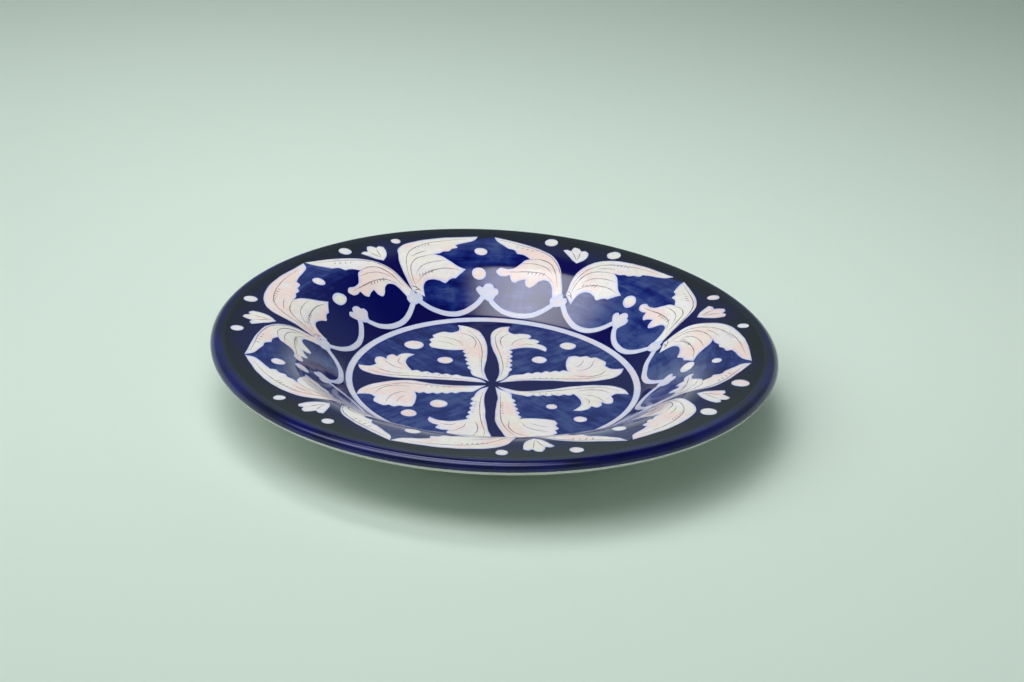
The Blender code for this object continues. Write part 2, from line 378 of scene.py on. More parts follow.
class Paint:
    """Painted shapes on the face that make one piece."""

    def __init__(self, seed):
        self.seed = seed
        self.plan = []
        self.edge = []
        self.lift = []
        self.faces = []
        self.shapes = 0

    def _take(self, plan, edge, faces):
        start = len(self.plan)
        self.plan.extend(plan.tolist())
        self.edge.extend(edge)
        self.lift.extend([STACK_STEP * (self.shapes % STACK)] * len(plan))
        self.faces.extend(tuple(start + index for index in face) for face in faces)
        self.shapes += 1

    def area(self, runs, strays=WOBBLE):
        """Add a filled shape. Each run is smooth, and the outline has a corner between runs."""
        outline = np.vstack([spline(run)[:-1] for run in runs])
        self.filled_outline(outline, strays)

    def dot(self, centre, size, turn=0.0):
        """Add an oval dot, size being its half width and half height."""
        angles = np.arange(DOT_POINTS) * 2 * math.pi / DOT_POINTS
        oval = np.column_stack([size[0] * np.cos(angles), size[1] * np.sin(angles)])
        spin = np.array([[math.cos(turn), math.sin(turn)], [-math.sin(turn), math.cos(turn)]])
        self.filled_outline(oval @ spin + centre, 2.0 * WOBBLE)

    def filled_outline(self, outline, strays):
        """Add the shape inside a closed outline."""
        outline = wobbled(outline, self.seed, strays)
        signed = (outline[:, 0] * np.roll(outline[:, 1], -1)
                  - outline[:, 1] * np.roll(outline[:, 0], -1)).sum()
        if signed < 0:
            outline = outline[::-1]
        low, high = outline.min(axis=0), outline.max(axis=0)
        columns = np.arange(low[0], high[0], GRID_STEP)
        rows = np.arange(low[1], high[1], GRID_ROW)
        grid = np.array([(x + (index % 2) * GRID_STEP / 2, y)
                         for index, y in enumerate(rows) for x in columns]).reshape(-1, 2)
        grid = grid[inside_of(outline, grid)]
        grid = grid[distance_to(outline, grid) > INSET + 0.4 * GRID_STEP]
        along = np.roll(outline, -1, axis=0) - np.roll(outline, 1, axis=0)
        along /= np.maximum(np.linalg.norm(along, axis=1), 1e-9)[:, None]
        row = (outline + INSET * np.column_stack([-along[:, 1], along[:, 0]]))[::2]
        row = row[inside_of(outline, row)]
        row = row[distance_to(outline, row) > 0.8 * INSET]
        points = np.vstack([outline, row, grid])
        made = delaunay_2d_cdt([Vector(point) for point in points], [],
                               [list(range(len(outline)))], 1, 1e-7)
        plan = np.array([tuple(point) for point in made[0]])
        edge = np.clip(distance_to(outline, plan) / EDGE_WIDTH, 0.0, 1.0)
        self._take(plan, edge.tolist(), made[2])

    def stroke(self, points, width, taper=(0.2, 0.2), strays=WOBBLE):
        """Add a brush stroke through points. taper is each end's share of the full width."""
        line = wobbled(spline(points), self.seed, strays)
        along = np.gradient(line, axis=0)
        along /= np.linalg.norm(along, axis=1)[:, None]
        aside = np.column_stack([-along[:, 1], along[:, 0]])
        share = np.linspace(0.0, 1.0, len(line))
        swell = np.minimum(taper[0] + (1 - taper[0]) * share / SWELL,
                           taper[1] + (1 - taper[1]) * (1 - share) / SWELL)
        half = width / 2 * np.minimum(swell, 1.0)
        across = (-1.0, -0.6, 0.0, 0.6, 1.0) if width > 1.0 * MM else (-1.0, 0.0, 1.0)
        plan = np.vstack([line + aside * (half * side)[:, None] for side in across])
        edge = np.concatenate([np.minimum(half * (1 - abs(side)) / EDGE_WIDTH, 1.0)
                               for side in across])
        count = len(line)
        faces = []
        for side in range(len(across) - 1):
            for index in range(count - 1):
                first = side * count + index
                faces.append((first, first + 1, first + count + 1, first + count))
        self._take(plan, edge.tolist(), faces)

    def piece(self, name, lift, material, tone=None, brush=None):
        """Make the piece: its top lies on the face, and its underside is just in the glaze.

        tone gives each plan point how pale its wash is, and brush the way its strokes run.
        """
        plan = np.array(self.plan)
        normals = face_normals(plan)
        base = face_at(plan)
        raised = lift + np.array(self.lift)
        top = base + normals * raised[:, None]
        count = len(plan)
        places = np.vstack([top, base - normals * PAINT_DEPTH])
        sides = {}
        for face in self.faces:
            for start, end in zip(face, face[1:] + face[:1]):
                sides[(start, end)] = True
        faces = list(self.faces)
        faces += [tuple(index + count for index in reversed(face)) for face in self.faces]
        for start, end in sides:
            if (end, start) not in sides:
                faces.append((end, start, start + count, end + count))
        mesh = bpy.data.meshes.new(name)
        mesh.from_pydata(places.tolist(), [], faces)
        store(mesh, "edge", self.edge * 2)
        tones = np.zeros(count) if tone is None else tone(plan)
        store(mesh, "tone", np.tile(tones, 2))
        strokes = plan if brush is None else brush(plan)
        held = np.column_stack([strokes / MM, np.full(count, SEED_STEP * self.seed)])
        store(mesh, "brush", np.vstack([held, held]).ravel(), "FLOAT_VECTOR", "vector")
        mesh.shade_smooth()
        loops = np.zeros(len(mesh.loops), np.int32)
        mesh.loops.foreach_get("vertex_index", loops)
        top_loops = sum(len(face) for face in self.faces)
        held_normals = np.zeros((len(loops), 3))
        held_normals[:top_loops] = normals[loops[:top_loops]]
        mesh.set_sharp_from_angle(angle=SHARP_ANGLE)
        mesh.normals_split_custom_set(held_normals.tolist())
        finish_piece(name, mesh, material)

    def slip_piece(self, name):
        """Make the piece in white slip."""
        self.piece(name, SLIP_LIFT, SLIP)

    def ink_piece(self, name):
        """Make the piece in the veins' ink."""
        self.piece(name, VEIN_LIFT, INK)


# ---------------------------------------------------------------- materials


def colour(red, green, blue):
    """Return a colour given as 0 to 255 per channel as the linear one that nodes take."""
    linear = []
    for value in (red, green, blue):
        share = value / 255
        linear.append(share / 12.92 if share <= 0.04045 else ((share + 0.055) / 1.055) ** 2.4)
    return (*linear, 1.0)


# Where the painted reflection on the plate's -Y side reaches full strength
PAINTED_SHEEN_FULL = -75.0 * MM      # y beyond which the plate's -Y side has its own tint in full


class Nodes:
    """A node tree under construction."""

    def __init__(self, owner):
        owner.use_nodes = True
        self.tree = owner.node_tree

    def put(self, value, socket):
        """Link an output to a socket, or set the socket to a plain value."""
        if isinstance(value, bpy.types.NodeSocket):
            self.tree.links.new(value, socket)
        else:
            socket.default_value = value

    def node(self, kind, output, inputs=None, **settings):
        """Return an output of a new node, whose inputs are given by name or number."""
        made = self.tree.nodes.new(kind)
        for name, value in settings.items():
            setattr(made, name, value)
        for name, value in (inputs or {}).items():
            self.put(value, made.inputs[name])
        return made.outputs[output]

    def attribute(self, name, output="Fac"):
        return self.node("ShaderNodeAttribute", output, attribute_name=name)

    def place(self):
        return self.node("ShaderNodeTexCoord", "Object")

    def split(self, vector):
        made = self.tree.nodes.new("ShaderNodeSeparateXYZ")
        self.put(vector, made.inputs[0])
        return made.outputs

    def radius(self, vector):
        """Return the distance from the plate's axis."""
        x, y = self.split(vector)[:2]
        squares = self.maths("ADD", self.maths("MULTIPLY", x, x), self.maths("MULTIPLY", y, y))
        return self.maths("SQRT", squares, 0.0)

    def scaled(self, vector, scale):
        return self.node("ShaderNodeVectorMath", 0, {0: vector, 1: scale}, operation="MULTIPLY")

    def noise(self, vector, scale, detail=3.0, rough=0.5):
        inputs = {"Vector": vector, "Scale": scale, "Detail": detail, "Roughness": rough}
        return self.node("ShaderNodeTexNoise", "Fac", inputs)

    def ramp(self, value, low, high, start=0.0, end=1.0, curve="SMOOTHSTEP"):
        inputs = {"Value": value, "From Min": low, "From Max": high, "To Min": start, "To Max": end}
        return self.node("ShaderNodeMapRange", "Result", inputs, interpolation_type=curve)

    def maths(self, operation, first, second):
        return self.node("ShaderNodeMath", 0, {0: first, 1: second}, operation=operation)

    def mix(self, share, first, second):
        return self.node("ShaderNodeMix", 2, {0: share, 6: first, 7: second}, data_type="RGBA")


class Shader(Nodes):
    """A Principled material under construction."""

    def __init__(self, name, roughness, specular=0.4):
        self.material = bpy.data.materials.new(name)
        super().__init__(self.material)
        self.shader = self.tree.nodes["Principled BSDF"]
        self.shader.inputs["Roughness"].default_value = roughness
        self.shader.inputs["Specular IOR Level"].default_value = specular
        self.shader.inputs["IOR"].default_value = 1.5

    def paint(self, base):
        """Set the surface's colour."""
        self.put(base, self.shader.inputs["Base Color"])

    def painted_sheen_side(self, place, end=-5.0 * MM):
        """Return the mask of the painted reflection: 1 on the plate's -Y side, fading to 0 at the
        plane y = end.
        """
        return self.ramp(self.split(place)[1], PAINTED_SHEEN_FULL, end, 1.0, 0.0)

    def bump(self, height, strength, distance):
        inputs = {"Strength": strength, "Distance": distance, "Height": height}
        self.put(self.node("ShaderNodeBump", "Normal", inputs), self.shader.inputs["Normal"])

    def glaze_skin(self, strength=0.30, smoothest=0.07, roughest=0.12):
        """Give the surface the soft waviness and the small pits of a fired glaze."""
        place = self.place()
        wave = self.noise(place, 95.0, 2.0)
        pits = self.ramp(self.noise(place, 900.0, 1.0), 0.28, 0.36)
        self.bump(self.maths("ADD", wave, self.maths("MULTIPLY", pits, 0.10)), strength, 0.10 * MM)
        uneven = self.ramp(self.noise(place, 60.0, 3.0), 0.3, 0.7, smoothest, roughest)
        self.put(uneven, self.shader.inputs["Roughness"])


def slip_white(name, pale, cream, warm):
    """Return white slip in three mingled tints, with a blue bleed along its edges."""
    made = Shader(name, 0.1, 0.2)
    place = made.place()
    edge = made.attribute("edge")
    base = made.mix(made.ramp(made.noise(place, 70.0, 2.0), 0.40, 0.62), pale, cream)
    blush = made.ramp(made.noise(made.scaled(place, (1.0, 1.0, 2.0)), 52.0, 3.0), 0.46, 0.64)
    base = made.mix(blush, base, warm)
    fine = made.ramp(made.noise(place, 420.0, 4.0, 0.6), 0.35, 0.70, 0.0, 0.30)
    base = made.mix(fine, base, colour(216, 210, 212))
    bleed = made.ramp(edge, 0.05, 0.95, 1.0, 0.0)
    uneven = made.ramp(made.noise(place, 180.0, 3.0), 0.30, 0.62, 0.35, 0.95)
    made.paint(made.mix(made.maths("MULTIPLY", bleed, uneven), base, colour(198, 206, 246)))
    made.glaze_skin()
    return made.material


def wash(name, deep, mid, pale):
    """Return a brushed wash, darker where it pools and paler where the brush ran dry.

    On the plate's -Y side its outer part is greyed towards a warm grey, which is a painted
    reflection.
    """
    made = Shader(name, 0.1, 0.5)
    place = made.place()
    brush = made.attribute("brush", "Vector")
    tone = made.attribute("tone")
    edge = made.attribute("edge")
    along = made.noise(made.scaled(brush, (0.05, 0.30, 1.0)), 1.0, 3.0, 0.6)
    across = made.noise(made.scaled(brush, (0.24, 0.06, 1.0)), 1.0, 2.0, 0.6)
    hairs = made.noise(made.scaled(brush, (0.12, 1.6, 1.0)), 1.0, 2.0, 0.6)
    cloud = made.noise(place, 75.0, 4.0, 0.6)
    parts = ((along, 0.36), (across, 0.12), (hairs, 0.06), (cloud, 0.46), (tone, 0.17))
    level = 0.0
    for part, weight in parts:
        level = made.maths("ADD", made.maths("MULTIPLY", part, weight), level)
    base = made.mix(made.ramp(level, 0.48, 0.60), deep, mid)
    base = made.mix(made.ramp(level, 0.57, 0.71), base, pale)
    pool = made.ramp(edge, 0.0, 0.9, 0.55, 0.0)
    base = made.mix(pool, base, deep)
    # Painted reflection: on the -Y side the outer wash is mixed towards a warm grey
    outer = made.ramp(made.radius(place), 76.0 * MM, 100.0 * MM, 0.0, 0.14)
    painted_sheen = made.maths("MULTIPLY", made.painted_sheen_side(place, -30.0 * MM), outer)
    made.paint(made.mix(painted_sheen, base, colour(150, 143, 110)))
    made.glaze_skin()
    return made.material


OUTER_GROUND = colour(14, 17, 22)
# The greyer ground that paints a reflection on the plate's -Y side
PAINTED_SHEEN_GROUND = colour(24, 30, 37)
LIP_SHEEN = (0.66, 0.70, 1.0, 1.0)
LIP_DRIFT = 0.0145               # how much further out the lip's cobalt starts, as a share of y


def dark_ground():
    """Return the dark ground: navy among the palmettes, and nearly black further out.

    On the plate's -Y side its outer part is greyer, which is a painted reflection.
    """
    made = Shader("dark_ground", 0.1)
    place = made.place()
    uneven = made.noise(place, 38.0, 4.0, 0.6)
    out = made.maths("MULTIPLY", made.radius(place), 1.0 / PLATE_RADIUS)
    level = made.maths("ADD", out, made.maths("MULTIPLY", uneven, 0.30))
    ground = made.mix(made.ramp(level, 0.92, 1.12), colour(12, 9, 78), OUTER_GROUND)
    # Painted reflection: the outer ground on the -Y side is greyer
    painted_sheen = made.maths("MULTIPLY", made.painted_sheen_side(place), made.ramp(out, 0.86, 0.93))
    made.paint(made.mix(painted_sheen, ground, PAINTED_SHEEN_GROUND))
    made.glaze_skin()
    return made.material


def plain_glaze(name, base, other):
    """Return a plain glaze with a soft mottle between two colours."""
    made = Shader(name, 0.12)
    place = made.place()
    mottle = made.ramp(made.noise(place, 40.0, 4.0, 0.55), 0.35, 0.68)
    specks = made.ramp(made.noise(place, 1400.0, 1.0), 0.72, 0.80, 0.0, 0.35)
    made.paint(made.mix(specks, made.mix(mottle, base, other), colour(70, 62, 58)))
    made.glaze_skin()
    return made.material


def cobalt_lip():
    """Return the lip's glossy cobalt, whose inner edge fades into the ground.

    The colour starts further out on the plate's +Y side.
    """
    made = Shader("cobalt_lip", 0.16, 0.80)
    made.shader.inputs["Specular Tint"].default_value = LIP_SHEEN
    place = made.place()
    turn = made.noise(made.scaled(place, (1.0, 1.0, 0.3)), 38.0, 4.0, 0.6)
    base = made.mix(made.ramp(turn, 0.35, 0.65), colour(1, 2, 40), colour(7, 8, 88))
    drift = made.maths("MULTIPLY", made.split(place)[1], LIP_DRIFT)
    out = made.maths("SUBTRACT", made.radius(place), drift)
    # On the -Y side the ground that the cobalt fades into carries the painted reflection
    ground = made.mix(made.painted_sheen_side(place), OUTER_GROUND, PAINTED_SHEEN_GROUND)
    cover = made.ramp(out, LIP_COLOUR_START, LIP_COLOUR_START + 1.2 * MM)
    made.paint(made.mix(cover, ground, base))
    made.glaze_skin(0.12, 0.15, 0.19)
    return made.material


def vein_ink():
    """Return the thin dark purple ink of the veins."""
    made = Shader("vein_ink", 0.12)
    place = made.place()
    strong = made.ramp(made.noise(place, 350.0, 3.0), 0.35, 0.65)
    made.paint(made.mix(strong, colour(114, 96, 110), colour(184, 166, 166)))
    made.glaze_skin()
    return made.material


def bare_clay():
    """Return the unglazed foot's fired clay, with turning lines and grains."""
    made = Shader("bare_clay", 0.85, 0.3)
    place = made.place()
    rings = made.maths("SINE", made.maths("MULTIPLY", made.radius(place), 9000.0), 0.0)
    grain = made.noise(place, 1600.0, 4.0, 0.7)
    base = made.mix(made.ramp(made.noise(place, 60.0, 3.0), 0.35, 0.65),
                    colour(196, 156, 128), colour(214, 180, 150))
    made.paint(made.mix(made.ramp(grain, 0.55, 0.75, 0.0, 0.6), base, colour(120, 84, 62)))
    made.bump(made.maths("ADD", grain, made.maths("MULTIPLY", rings, 0.15)), 0.5, 0.15 * MM)
    return made.material


# ---------------------------------------------------------------- the turned pieces

SLIP = slip_white("slip_white", colour(244, 239, 236), colour(243, 240, 226), colour(248, 224, 214))
LINE = slip_white("line_white", colour(214, 217, 232), colour(226, 225, 227), colour(228, 216, 221))
COBALT = wash("cobalt_wash", colour(1, 5, 84), colour(19, 38, 115), colour(58, 76, 132))
GROUND = dark_ground()
LIP = cobalt_lip()
BACK = plain_glaze("back_cream", colour(208, 206, 206), colour(192, 191, 191))
CLAY = bare_clay()
INK = vein_ink()


def shell(stretch):
    """Return the closed section of a glaze under a stretch of the skin."""
    return stretch + list(reversed(set_in(stretch, GLAZE)))


def turned_pieces():
    """Make the plate's body, its foot and the glazes under and around the painting."""
    lip = lip_arc(LIP_ROLL_START, LIP_GLAZE_END)
    under_lip = lip_arc(LIP_GLAZE_END, LIP_ROLL_END)
    back = filled(back_outline())
    base = WELL_HEIGHT - FLOOR_THICKNESS

    skin = FACE + lip[1:] + under_lip[1:] + back + [(0.0, base)]
    turned("clay_core", set_in(skin, CLAY_DEPTH), CLAY, ["clay_body"], closed=False)

    corners = [(FOOT_OUTER_RADIUS, base + GLAZE), (FOOT_OUTER_RADIUS, 0.0),
               (FOOT_INNER_RADIUS, 0.0), (FOOT_INNER_RADIUS, base + GLAZE)]
    foot = [corners[0]]
    foot += fillet(corners[0], corners[1], corners[2], FOOT_ROUNDING, 6)
    foot += fillet(corners[1], corners[2], corners[3], FOOT_ROUNDING, 6)
    foot.append(corners[3])
    turned("foot", foot, CLAY, ["foot_ring"], warp=False)

    turned("well_ground", shell(between(FACE, 0.0, WELL_LINE_INNER)), GROUND,
           ["well_glaze"], closed=False)
    line = between(FACE, WELL_LINE_INNER, WELL_LINE_OUTER)
    raised = set_in(line, -SLIP_LIFT)
    section = [line[0]] + raised + [line[-1]]
    section += list(reversed(set_in(line, GLAZE)))
    edges = [min(radius - WELL_LINE_INNER, WELL_LINE_OUTER - radius) / EDGE_WIDTH
             for radius, height in section]
    edges = [min(max(share, 0.0), 1.0) for share in edges]
    turned("well_ring", section, LINE, ["well_line"], edges=edges)
    turned("rim_ground", shell(between(FACE, WELL_LINE_OUTER, LIP_GLAZE_START)), GROUND,
           ["rim_glaze"])
    turned("lip_band", shell(between(FACE, LIP_GLAZE_START, FACE[-1][0])[:-1] + lip), LIP,
           ["lip_glaze"])
    turned("back_face", shell(under_lip + back), BACK, ["back_glaze"])
    edge = FOOT_INNER_RADIUS + RECESS_OVERLAP
    recess = [(0.0, base), (0.0, base + GLAZE), (edge, base + GLAZE), (edge, base)]
    turned("recess_face", recess, BACK, ["recess_glaze"], warp=False)


# ---------------------------------------------------------------- the wall's palmettes


def spots(points):
    """Return points given in thousandths."""
    return [(first / 1000, second / 1000) for first, second in points]


def joined(runs):
    """Return an outline's runs, given in thousandths without the point where the last one ended."""
    made = []
    for run in runs:
        start = made[-1][-1:] if made else []
        made.append(start + spots(run))
    return made


# The leaf on a palmette's anticlockwise side: its outer edge up to the tip, the inner edge
# with its teeth down to the deep notch, the broad lobe, and the lower edge back to the knot
BROAD_LEAF = joined([
    [(-485, 648), (-495, 700), (-497, 750), (-475, 805), (-425, 845), (-350, 878), (-250, 900),
     (-120, 912), (0, 915), (72, 920)],
    [(45, 888), (0, 871), (-60, 857), (-105, 843)],
    [(-118, 822), (-158, 812)],
    [(-180, 797), (-213, 797)],
    [(-240, 786), (-278, 784)],
    [(-235, 769), (-195, 746), (-150, 720), (-102, 705)],
    [(-135, 691), (-172, 674)],
    [(-198, 674), (-222, 668)],
    [(-248, 659), (-280, 669)],
    [(-325, 676), (-368, 673), (-397, 658), (-410, 638), (-416, 618)],
    [(-450, 632), (-485, 648)],
])
# The leaf on the clockwise side, whose lobe hangs in rounded fingers
FINGER_LEAF = joined([
    [(518, 645), (492, 682), (462, 722), (420, 766), (360, 812), (285, 853), (190, 888),
     (82, 920)],
    [(92, 892), (115, 858), (142, 824)],
    [(172, 814), (190, 789)],
    [(222, 786), (268, 765)],
    [(240, 757), (218, 737), (192, 718), (150, 711), (105, 713), (84, 700), (100, 686),
     (130, 683), (166, 688)],
    [(178, 670), (200, 663), (226, 672), (262, 679)],
    [(272, 659), (294, 650), (320, 658), (345, 677), (375, 686), (408, 682), (436, 663),
     (452, 642), (466, 620)],
    [(492, 630), (518, 645)],
])
# The cobalt inside a palmette, which runs on under the leaves
FIELD = joined([
    [(-440, 600), (-455, 700), (-460, 760), (-420, 820), (-330, 864), (-200, 886), (-50, 897),
     (45, 908), (77, 922)],
    [(100, 902), (180, 872), (290, 832), (385, 770), (450, 700), (490, 640), (485, 600)],
    [(410, 566), (330, 547), (240, 543), (150, 552), (80, 574), (35, 606)],
    [(-20, 590), (-80, 566), (-160, 548), (-250, 545), (-340, 556), (-410, 576), (-440, 600)],
])
ARC_WIDTH = 2.3 * MM
BROAD_ARC = spots([(-470, 608), (-412, 577), (-340, 556), (-250, 545), (-160, 548), (-80, 566),
                    (-22, 591), (22, 622)])
FINGER_ARC = spots([(46, 622), (52, 594), (90, 570), (155, 551), (240, 543), (330, 547),
                     (410, 566), (462, 590), (500, 612)])
BUD = joined([
    [(0, 600), (-30, 616), (-46, 634), (-22, 644), (0, 638)],
    [(16, 650), (40, 654), (66, 648), (76, 638)],
    [(98, 634), (104, 622), (82, 606), (66, 592), (34, 590), (0, 600)],
])
KNOT = joined([
    [(460, 606), (455, 620), (468, 632), (486, 630)],
    [(498, 646), (520, 647), (534, 634)],
    [(556, 635), (570, 620), (560, 606), (540, 602)],
    [(500, 596), (460, 606)],
])
# Fine lines on the leaves, each with its width in millimetres
BROAD_VEINS = [
    (0.40, spots([(-470, 665), (-468, 720), (-440, 780), (-370, 830), (-255, 866), (-120, 888),
                   (10, 899)])),
    (0.45, spots([(-278, 784), (-330, 778), (-400, 762), (-440, 730), (-452, 690),
                   (-450, 655)])),
    (0.35, spots([(-300, 812), (-355, 800), (-405, 783)])),
    (0.40, spots([(-140, 704), (-210, 712), (-290, 710), (-370, 698), (-430, 672)])),
    (0.30, spots([(-215, 745), (-290, 744), (-370, 730), (-425, 700)])),
]
FINGER_VEINS = [
    (0.40, spots([(500, 662), (470, 706), (425, 752), (365, 797), (285, 836), (190, 870),
                   (110, 898)])),
    (0.45, spots([(268, 765), (325, 770), (380, 757), (425, 722), (470, 668)])),
    (0.40, spots([(120, 699), (200, 703), (290, 709), (370, 706), (440, 680)])),
    (0.30, spots([(230, 741), (300, 744), (370, 734), (425, 705)])),
]
# Rows of short ticks: first tick, last tick, how many
TICK_ROWS = [
    ((-0.400, 0.697), (-0.315, 0.706), 5),
    ((-0.350, 0.838), (-0.225, 0.862), 6),
    ((0.275, 0.704), (0.365, 0.706), 5),
    ((0.190, 0.848), (0.265, 0.822), 4),
]
TICK = 2.0 * MM
KNOT_MARKS = [
    spots([(-484, 664), (-458, 657), (-432, 645)]),
    spots([(-472, 646), (-448, 647), (-424, 637)]),
]

# Seven palmettes, anticlockwise from the one on the plate's +Y side. broad and finger are each
# side's width against the shapes above, at the knots and at the shoulder. tips moves the two
# leaf tips along, and rise lifts them. pale is how pale the wash is low down, sprig is the
# middle and lean of the sprig that follows clockwise, and bud moves the scallops' middle. Dots
# are (share, radius, half width, half height) with the sizes in millimetres.
PALMETTE_SHAPES = [
    {"broad": (0.99, 0.96), "finger": (1.04, 1.05), "tips": (-0.075, -0.012), "rise": -0.009,
     "pale": 0.45, "dots": [(0.000, 0.793, 3.2, 2.9), (-0.020, 0.690, 3.4, 2.8)],
     "rim_dots": [(-0.412, 0.910, 2.3, 2.4), (0.350, 0.912, 3.0, 3.9)], "sprig": (0.505, 0.03),
     "bud": (0.000, 0.000)},
    {"broad": (1.00, 1.00), "finger": (1.00, 1.00), "tips": (0.000, 0.000), "rise": 0.000,
     "pale": -0.6, "dots": [(-0.015, 0.790, 2.8, 3.1), (-0.010, 0.694, 4.2, 2.7)],
     "rim_dots": [(-0.385, 0.916, 2.9, 3.0), (0.313, 0.908, 2.9, 3.3)], "sprig": (0.440, 0.0),
     "bud": (0.004, -0.002)},
    {"broad": (1.05, 0.99), "finger": (1.00, 1.03), "tips": (-0.030, -0.034), "rise": -0.028,
     "pale": 0.2, "dots": [(-0.030, 0.787, 3.1, 3.0), (-0.010, 0.700, 3.6, 2.8)],
     "rim_dots": [(-0.402, 0.906, 2.3, 2.6), (0.312, 0.910, 2.7, 2.8)], "sprig": (0.440, 0.0),
     "bud": (-0.020, 0.000)},
    {"broad": (1.08, 1.04), "finger": (0.94, 0.94), "tips": (-0.070, -0.070), "rise": -0.012,
     "pale": 0.9, "dots": [(-0.035, 0.800, 3.4, 2.6), (-0.010, 0.696, 3.6, 2.8)],
     "rim_dots": [(-0.446, 0.908, 2.6, 2.7), (0.306, 0.902, 2.7, 2.6)], "sprig": (0.445, 0.0),
     "bud": (-0.015, 0.000)},
    {"broad": (1.15, 1.00), "finger": (0.92, 0.88), "tips": (-0.072, -0.046), "rise": -0.020,
     "pale": 0.6, "dots": [(-0.020, 0.795, 3.0, 2.6), (-0.010, 0.696, 3.6, 2.8)],
     "rim_dots": [(-0.436, 0.898, 3.4, 3.5), (0.255, 0.911, 2.8, 2.7)], "sprig": (0.400, 0.0),
     "bud": (-0.010, 0.000)},
    {"broad": (1.04, 0.95), "finger": (0.82, 0.88), "tips": (-0.082, -0.062), "rise": -0.014,
     "pale": 1.0, "dots": [(-0.015, 0.785, 2.4, 2.2), (-0.060, 0.684, 4.0, 3.0)],
     "rim_dots": [(-0.382, 0.916, 2.3, 2.7), (0.228, 0.896, 3.5, 3.9)], "sprig": (0.400, 0.0),
     "bud": (-0.035, -0.006)},
    {"broad": (0.90, 0.80), "finger": (0.92, 1.00), "tips": (-0.034, 0.010), "rise": -0.012,
     "pale": 0.85, "dots": [(-0.010, 0.696, 3.4, 2.9)],
     "rim_dots": [(-0.330, 0.912, 3.2, 4.0), (0.298, 0.916, 2.4, 3.0)], "sprig": (0.440, 0.01),
     "bud": (0.000, 0.002)},
]
UPPER_PALE = 0.50
# Where a palmette changes with the radius: where the change starts, and how far it takes
WIDTH_CHANGE = (0.65, 0.20)
TIP_CHANGE = (0.80, 0.10)
TONE_CHANGE = (0.68, 0.10)
BUD_BEND = 0.3                   # share of the pitch over which an arc follows a moved bud
BRUSH_RADIUS = 0.7               # radius at which a stroke's angle around becomes a length
# The sprig between two palmettes: shares of the pitch from its middle, and radius
SPRIG = joined([
    [(0, 786), (-30, 806), (-52, 834), (-72, 864)],
    [(-52, 873), (-30, 868)],
    [(-22, 886), (-8, 904)],
    [(12, 901), (27, 882)],
    [(44, 891), (64, 880)],
    [(60, 850), (38, 814), (0, 786)],
])
SPRIG_MIDDLE = 0.85
SPRIG_HALF = 0.06
SPRIG_VEINS = [
    spots([(-2, 806), (-14, 836), (-24, 864)]),
    spots([(2, 806), (12, 840), (22, 874)]),
]


def put_by(place, points):
    """Return points put on the plan by a function of their two numbers."""
    return [place(first, second) for first, second in points]


def eased(value):
    """Return a share from 0 to 1 that starts and ends gently."""
    value = min(max(value, 0.0), 1.0)
    return value * value * (3 - 2 * value)


def polar(angle, radius):
    """Return the plan point at an angle and a radius that is a share of the plate's."""
    return (PLATE_RADIUS * radius * math.cos(angle), PLATE_RADIUS * radius * math.sin(angle))


class Palmette:
    """One palmette's place and its own small differences."""

    def __init__(self, index):
        self.index = index
        self.axis = FIRST_AXIS + index * PITCH
        self.shape = PALMETTE_SHAPES[index]

    def point(self, share, radius, side=None):
        """Return the plan point of a place on this palmette."""
        shape = self.shape
        side = share if side is None else side
        knots, shoulder = shape["broad"] if side < 0 else shape["finger"]
        level = eased((radius - WIDTH_CHANGE[0]) / WIDTH_CHANGE[1])
        upper = eased((radius - TIP_CHANGE[0]) / TIP_CHANGE[1])
        tip = shape["tips"][0] if side < 0 else shape["tips"][1]
        stretched = share * (knots + (shoulder - knots) * level) + tip * upper
        return polar(self.axis - stretched * PITCH, radius + shape["rise"] * upper)

    def runs(self, runs, side):
        return [[self.point(share, radius, side) for share, radius in run] for run in runs]

    def line(self, points, side=None):
        return [self.point(share, radius, side) for share, radius in points]

    def brush(self, plan):
        """Return plan points as (length around, radius), the way the brush ran."""
        radius = np.hypot(plan[:, 0], plan[:, 1])
        angle = np.arctan2(plan[:, 1], plan[:, 0]) - self.axis
        angle = (angle + math.pi) % (2 * math.pi) - math.pi
        return np.column_stack([angle * BRUSH_RADIUS * PLATE_RADIUS, radius])

    def tone(self, plan):
        """Return how pale the wash is: the palmette's own value low down, UPPER_PALE above."""
        radius = np.hypot(plan[:, 0], plan[:, 1]) / PLATE_RADIUS
        upper = np.clip((radius - TONE_CHANGE[0]) / TONE_CHANGE[1], 0.0, 1.0)
        return self.shape["pale"] * (1 - upper) + UPPER_PALE * upper


def ticks(paint, start, end, count, place, side, length=TICK):
    """Add a row of short ticks between two places, square to the row."""
    for index in range(count):
        spot = np.array(place(*part_way(start, end, index / (count - 1)), side))
        ahead = np.array(place(*end, side)) - np.array(place(*start, side))
        ahead /= np.linalg.norm(ahead)
        lean = np.array([-ahead[1], ahead[0]]) + 0.5 * ahead
        reach = length / 2 * (0.75 + 0.5 * noise.noise(Vector((index * 3.7, paint.seed, 1.0))))
        paint.stroke([spot - lean * reach, spot, spot + lean * reach], THIN_LINE, (0.6, 0.4), 0.0)


